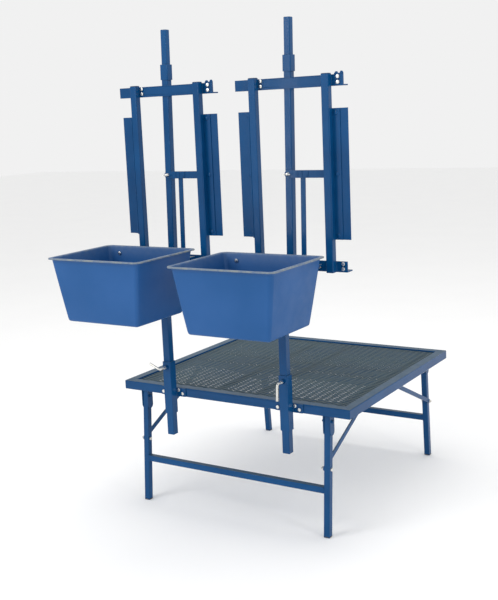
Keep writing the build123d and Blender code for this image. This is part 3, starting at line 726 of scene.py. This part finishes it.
def weld_loop(points, faces, centre, half_u, half_v, u, v, inset=3 * MM, radius=2.1 * MM):
    """Beads along the four sides of a rectangle with sides 2*half_u and 2*half_v."""
    centre = Vector(centre)
    u = Vector(u)
    v = Vector(v)
    for sign in (-1, 1):
        bead(points, faces, centre + v * (sign * half_v) - u * (half_u - inset),
             centre + v * (sign * half_v) + u * (half_u - inset), radius)
        bead(points, faces, centre + u * (sign * half_u) - v * (half_v - inset),
             centre + u * (sign * half_u) + v * (half_v - inset), radius)


X = Vector((1, 0, 0))
Y = Vector((0, 1, 0))
Z = Vector((0, 0, 1))


def leg_frame_welds(end):
    """Cross bar to legs."""
    low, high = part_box(f"{end}_leg_crossbar")
    points = []
    faces = []
    centre = (low + high) / 2
    half = (high - low) / 2
    for x in (low.x, high.x):
        weld_loop(points, faces, (x, centre.y, centre.z), half.y, half.z, Y, Z)
    make_piece(f"{end}_leg_welds", points, faces, f"{end}_legs", BLUE)


def deck_welds():
    """Ears and hangers to the deck, flanges to sockets, and the rails' corners inside."""
    points = []
    faces = []
    rail_low, rail_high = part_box("front_rail")
    for low, high in solid_boxes("deck_brackets"):
        for x in (low.x - 0.2 * MM, high.x + 0.2 * MM):
            start = (x, low.y + 3 * MM, high.z)
            end = (x, high.y - 3 * MM, high.z)
            bead(points, faces, start, end, 1.9 * MM)
    socket_half = 19 * MM
    flange_thickness = 4.8 * MM
    flange_low = rail_low.z + 3 * MM
    flange_high = flange_low + 33 * MM
    for hand in SIDES:
        low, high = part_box(f"mast_socket_{hand}")
        middle = (low.x + high.x) / 2
        y = high.y - flange_thickness
        for x in (middle - socket_half, middle + socket_half):
            bead(points, faces, (x, y, flange_low), (x, y, flange_high), 2.4 * MM)
    left_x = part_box("left_rail")[1].x
    right_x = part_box("right_rail")[0].x
    back_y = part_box("back_rail")[0].y
    corner_low = rail_low.z + 2 * MM
    corner_high = rail_low.z + 24 * MM
    for x in (left_x, right_x):
        for y in (rail_high.y, back_y):
            bead(points, faces, (x, y, corner_low), (x, y, corner_high), 2.6 * MM)
    make_piece("deck_welds", points, faces, "deck", BLUE)


def rail_seams():
    """Ground-down mitre welds, a little proud of the rails' tops and undersides."""
    points = []
    faces = []
    outer_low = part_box("front_rail")[0]
    outer_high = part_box("back_rail")[1]
    rail = outer_high.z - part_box("back_rail")[0].z
    sunk = 0.55 * MM
    near = 3.2 * MM
    far = rail - 1 * MM
    for x, step_x in ((outer_low.x, 1), (outer_high.x, -1)):
        for y, step_y in ((outer_low.y, 1), (outer_high.y, -1)):
            for z in (outer_high.z - sunk, outer_high.z - rail + sunk):
                start = (x + step_x * near, y + step_y * near, z)
                end = (x + step_x * far, y + step_y * far, z)
                bead(points, faces, start, end, 0.95 * MM)
    make_piece("rail_seams", points, faces, "deck", BLUE)


def gate_welds(gate):
    """Uprights and mast to the bars, pan bar to the mast, shields to the uprights."""
    points = []
    faces = []
    bar_height = 40 * MM
    for bar in ("lower_bar", "upper_bar"):
        bar_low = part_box(f"{gate}_{bar}")[0]
        front = bar_low.y
        bar_top = bar_low.z + bar_height
        for post in ("upright_left", "upright_right"):
            low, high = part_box(f"{gate}_{post}")
            weld_top = min(high.z, bar_top) - 3 * MM
            for x in (low.x, high.x):
                start = (x, front, bar_low.z + 3 * MM)
                end = (x, front, weld_top)
                bead(points, faces, start, end, 2.0 * MM)
    mast_low, mast_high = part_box(f"{gate}_mast")
    for x in (mast_low.x, mast_high.x):
        start = (x, mast_high.y, mast_high.z - 37 * MM)
        end = (x, mast_high.y, mast_high.z - 3 * MM)
        bead(points, faces, start, end)
    pan_bar_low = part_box(f"{gate}_pan_bar")[0].z
    pan_bar_thickness = 4.8 * MM
    for z in (pan_bar_low, pan_bar_low + pan_bar_thickness):
        start = (mast_low.x + 3 * MM, mast_low.y, z)
        end = (mast_high.x - 3 * MM, mast_low.y, z)
        bead(points, faces, start, end, 2.2 * MM)
    stitch = 22 * MM
    for side in SIDES:
        low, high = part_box(f"{gate}_shield_{side}")
        x = high.x if side == "left" else low.x
        for share in (0.05, 0.36, 0.64, 0.93):
            z = low.z + (high.z - low.z) * share
            bead(points, faces, (x, low.y, z), (x, low.y, z + stitch), 1.7 * MM)
    make_piece(f"{gate}_gate_welds", points, faces, f"{gate}_gate", BLUE)


def collar_welds(gate):
    """Collar to the handle, round the handle where it enters the collar's top."""
    points = []
    faces = []
    low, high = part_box(f"{gate}_neck_collar")
    bar_low, bar_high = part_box(f"{gate}_neck_handle")
    centre_y = (low.y + high.y) / 2
    half = 12 * MM
    lean_shift = 1.4 * MM
    handle_x = (bar_low.x + bar_high.x) / 2 - lean_shift
    z = high.z - 0.6 * MM
    weld_loop(points, faces, (handle_x, centre_y, z), half, half, X, Y, 2 * MM, 1.8 * MM)
    make_piece(f"{gate}_collar_welds", points, faces, f"{gate}_neck", BLUE)


for end in ("front", "back"):
    leg_frame_welds(end)
deck_welds()
rail_seams()
for gate in SIDES:
    gate_welds(gate)
    collar_welds(gate)


# ---- Plugs in the tube ends ---------------------------------------------------------------------
def end_plug(name, body, low, high, slant=0.0):
    """Plastic plug over a tube's end: a rounded cap between two corners, which may lean along Y."""
    corner = 4.2 * MM
    centre = (low + high) / 2
    half_x = (high.x - low.x) / 2
    half_y = (high.y - low.y) / 2
    height = high.z - low.z
    # Each row is the share of the cap's width and of its height.
    rows = ((0.90, 0.0), (0.975, 0.10), (1.0, 0.35), (1.0, 0.85), (0.97, 1.0))
    points = []
    around = 0
    for share, rise in rows:
        shift = Vector((0, slant * height * rise, 0))
        z = low.z + height * rise
        loop = rounded_loop(centre + shift, half_x * share, half_y * share, corner, z, 5)
        around = len(loop)
        points += loop
    make_piece(name, points, tube_faces(len(rows), around), body, BLACK)


def leg_feet(end, sign):
    """Plugs over the lower ends of a leg frame's legs. sign is the way in along Y."""
    splay = math.tan(math.radians(4.2))
    overlap = 0.35 * MM
    outside = 0.1 * MM
    inside = 25.6 * MM
    height = 5.0 * MM
    for side in SIDES:
        low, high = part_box(f"{end}_leg_{side}")
        if sign == 1:
            low_y = low.y - outside
            high_y = low.y + inside
        else:
            low_y = high.y - inside
            high_y = high.y + outside
        foot_low = Vector((low.x - overlap, low_y, 0.0))
        foot_high = Vector((high.x + overlap, high_y, height))
        end_plug(f"{end}_leg_{side}_foot", f"{end}_legs", foot_low, foot_high, sign * splay)


def upright_plugs(gate):
    """Plugs in the upper ends of a gate's uprights."""
    margin = 1.2 * MM
    sunk = 2.0 * MM
    proud = 1.6 * MM
    for side in SIDES:
        low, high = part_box(f"{gate}_upright_{side}")
        plug_low = Vector((low.x + margin, low.y + margin, high.z - sunk))
        plug_high = Vector((high.x - margin, high.y - margin, high.z + proud))
        end_plug(f"{gate}_upright_{side}_plug", f"{gate}_gate", plug_low, plug_high)


for end, sign in (("front", 1), ("back", -1)):
    leg_feet(end, sign)
for gate in SIDES:
    upright_plugs(gate)


# ---- Camera, floor and light --------------------------------------------------------------------
def photo_camera():
    """Camera at the photograph's place, set out from the deck's front edge on its centre line."""
    rail_low, rail_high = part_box("front_rail")
    middle = Vector(((rail_low.x + rail_high.x) / 2, rail_low.y, 0.0))
    yaw = math.radians(33.481)
    pitch = math.radians(10.094)
    roll = math.radians(-2.788)
    ahead = math.cos(pitch)
    forward = Vector((-math.sin(yaw) * ahead, math.cos(yaw) * ahead, -math.sin(pitch)))
    level = Vector((math.cos(yaw), math.sin(yaw), 0.0))
    upward = level.cross(forward)
    right = math.cos(roll) * level + math.sin(roll) * upward
    up = -math.sin(roll) * level + math.cos(roll) * upward
    camera = bpy.data.objects.new("camera", bpy.data.cameras.new("camera"))
    bpy.context.scene.collection.objects.link(camera)
    turn = Matrix((right, up, -forward)).transposed().to_4x4()
    place = middle + Vector((2.1238, -3.2256, 1.6359))
    camera.matrix_world = Matrix.Translation(place) @ turn
    camera.data.sensor_fit = "HORIZONTAL"
    camera.data.sensor_width = 36.0
    camera.data.lens = 71.96
    camera.data.shift_x = 0.0538
    camera.data.shift_y = -0.0235
    camera.data.clip_end = 100.0
    bpy.context.scene.camera = camera


def pale_floor():
    """Large flat sheet of matt studio paper."""
    half = 20.0
    z = -0.5 * MM
    points = [(-half, -half, z), (half, -half, z), (half, half, z), (-half, half, z)]
    mesh = bpy.data.meshes.new("studio_floor")
    mesh.from_pydata(points, [], [(0, 1, 2, 3)])
    floor = bpy.data.objects.new("studio_floor", mesh)
    bpy.context.scene.collection.objects.link(floor)
    shader = Shader("studio_paper")
    grey = (0.94, 0.94, 0.94, 1.0)
    pale_grey = (0.97, 0.97, 0.965, 1.0)
    shader.set("Base Color", shader.mix(shader.noise(2.0), grey, pale_grey))
    shader.set("Roughness", 0.9)
    shader.set("Specular IOR Level", 0.1)
    mesh.materials.append(shader.material)


def area_light(name, place, aim, size, power):
    """White rectangular light at place, turned to face aim."""
    light = bpy.data.lights.new(name, "AREA")
    light.shape = "RECTANGLE"
    light.size, light.size_y = size
    light.energy = power
    lamp = bpy.data.objects.new(name, light)
    bpy.context.scene.collection.objects.link(lamp)
    place = Vector(place)
    turn = (Vector(aim) - place).to_track_quat("-Z", "Y").to_matrix().to_4x4()
    lamp.matrix_world = Matrix.Translation(place) @ turn


photo_camera()
pale_floor()
area_light("key", (-2.2, -4.2, 3.6), (0, 0, 0.9), (2.4, 2.4), 75)
area_light("strip_right", (4.2, -1.4, 1.9), (0, -0.2, 1.3), (0.35, 2.6), 20)
area_light("strip_front", (-2.0, -4.4, 1.7), (0.3, -0.3, 1.4), (0.12, 2.6), 9)
area_light("overhead", (0.4, 0.6, 5.0), (0, 0.2, 0), (4.0, 4.0), 60)
world = bpy.data.worlds.new("studio")
world.use_nodes = True
world.node_tree.nodes["Background"].inputs["Color"].default_value = (1.0, 1.0, 1.0, 1.0)
world.node_tree.nodes["Background"].inputs["Strength"].default_value = 0.88
bpy.context.scene.world = world
bpy.context.scene.view_settings.view_transform = "Standard"
